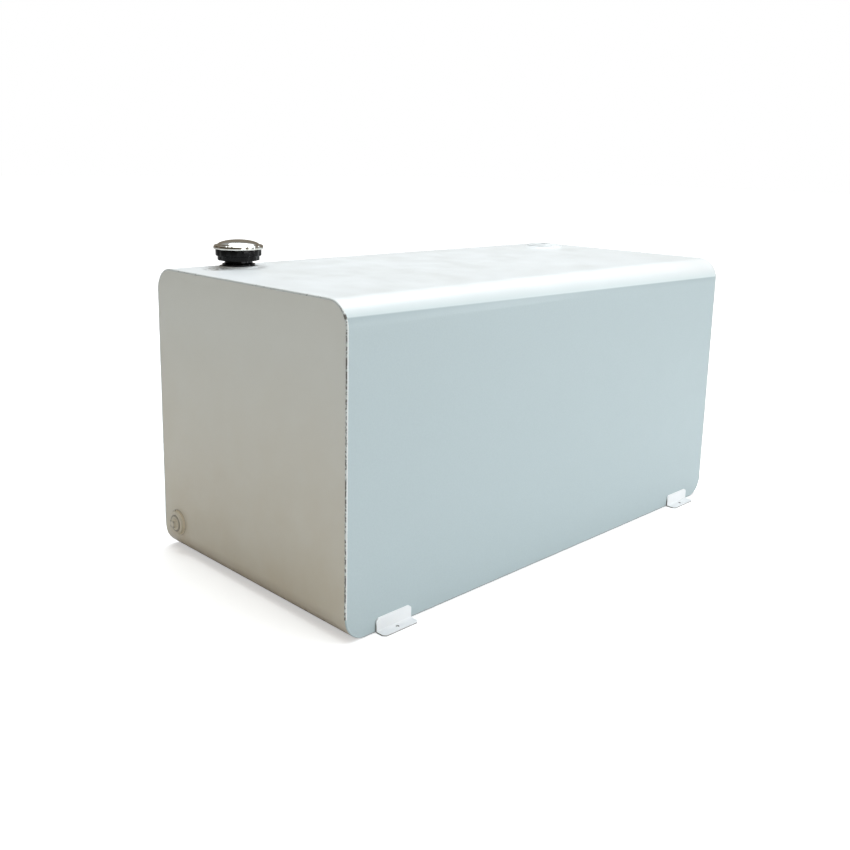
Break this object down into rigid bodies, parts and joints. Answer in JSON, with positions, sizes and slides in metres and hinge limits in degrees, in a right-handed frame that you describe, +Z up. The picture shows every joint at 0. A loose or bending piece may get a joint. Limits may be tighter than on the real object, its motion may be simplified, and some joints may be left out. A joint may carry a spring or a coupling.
{
  "type": "liquid transfer tank",
  "caption": "White rectangular steel liquid transfer tank with rounded bends, screw filler cap on a neck, plugged pump port, drain plug and bolt-down feet.",
  "frame": {"origin": "middle of the floor's underside", "axes": "+X along the length towards the pump-port end, -Y towards the front panel, +Z up"},
  "size_m": [1.2352, 0.66, 0.6733],
  "materials": {
    "white_coat": "satin powder coat",
    "raw_steel": "mill finish",
    "black_enamel": "gloss",
    "seal_rubber": "matt",
    "zinc_plate": "zinc plated",
    "cage_plastic": "moulded",
    "spring_steel": "drawn wire",
    "brass": "machined",
    "cap_black": "gloss",
    "cap_chrome": "polished"
  },
  "bodies": {
    "tank": {"upper_wrap": "white_coat", "lower_wrap": "white_coat", "left_end_weld": "white_coat", "right_end_weld": "white_coat", "front_bottom_weld": "white_coat", "rear_bottom_weld": "white_coat", "left_baffle": "raw_steel", "right_baffle": "raw_steel", "front_left_foot": "white_coat", "front_right_foot": "white_coat", "rear_left_foot": "white_coat", "rear_right_foot": "white_coat", "foot_welds": "white_coat", "filler_bung": "white_coat", "filler_weld": "white_coat", "neck_gasket": "seal_rubber", "filler_neck": "black_enamel", "pump_port_flange": "white_coat", "pump_port_weld": "white_coat", "drain_flange": "white_coat", "drain_weld": "white_coat"},
    "cap_gasket": {"cap_gasket": "seal_rubber"},
    "cap_core": {"seal_plate": "zinc_plate", "vent_seat": "seal_rubber", "vent_cage": "cage_plastic", "vent_spring": "spring_steel"},
    "filler_cap": {"cap_body": "cap_black", "cap_cover": "cap_chrome", "plate_clip": "spring_steel"},
    "vent_valve": {"vent_disc": "brass"},
    "pump_port_seal": {"pump_port_seal": "seal_rubber"},
    "pump_port_plug": {"pump_port_plug": "white_coat"},
    "drain_seal": {"drain_seal": "seal_rubber"},
    "drain_plug": {"drain_plug": "white_coat"}
  },
  "joints": [
    {"name": "cap_lift", "type": "slide", "parent": "tank", "child": "cap_gasket", "axis": [0, 0, 1], "range_m": [0, 0.16]},
    {"name": "cap_rise", "type": "slide", "parent": "cap_gasket", "child": "cap_core", "axis": [0, 0, 1], "range_m": [0, 0.02401]},
    {"name": "cap_turn", "type": "hinge", "parent": "cap_core", "child": "filler_cap", "pos_m": [-0.468, 0.216, 0.616], "axis": [0, 0, 1], "range_deg": [0, 1440]},
    {"name": "vent_open", "type": "slide", "parent": "cap_core", "child": "vent_valve", "axis": [0, 0, -1], "range_m": [0, 0.003], "stiffness_N_per_m": 200, "springref_m": -0.005, "deforming": ["vent_spring"]},
    {"name": "pump_plug_rise", "type": "slide", "parent": "tank", "child": "pump_port_seal", "axis": [0, 0, 1], "range_m": [0, 0.01326]},
    {"name": "pump_plug_turn", "type": "hinge", "parent": "pump_port_seal", "child": "pump_port_plug", "pos_m": [0.512, 0.172, 0.616], "axis": [0, 0, 1], "range_deg": [0, 2160]},
    {"name": "drain_plug_travel", "type": "slide", "parent": "tank", "child": "drain_seal", "axis": [-1, 0, 0], "range_m": [0, 0.01452]},
    {"name": "drain_plug_turn", "type": "hinge", "parent": "drain_seal", "child": "drain_plug", "pos_m": [-0.6095, 0.251, 0.069], "axis": [-1, 0, 0], "range_deg": [0, 2880]}
  ],
  "couplings": [
    {"joint": "cap_rise", "follows": "cap_turn", "m_per_rad": 0.00095493},
    {"joint": "pump_plug_rise", "follows": "pump_plug_turn", "m_per_rad": 0.00035157},
    {"joint": "drain_plug_travel", "follows": "drain_plug_turn", "m_per_rad": 0.00028871}
  ]
}
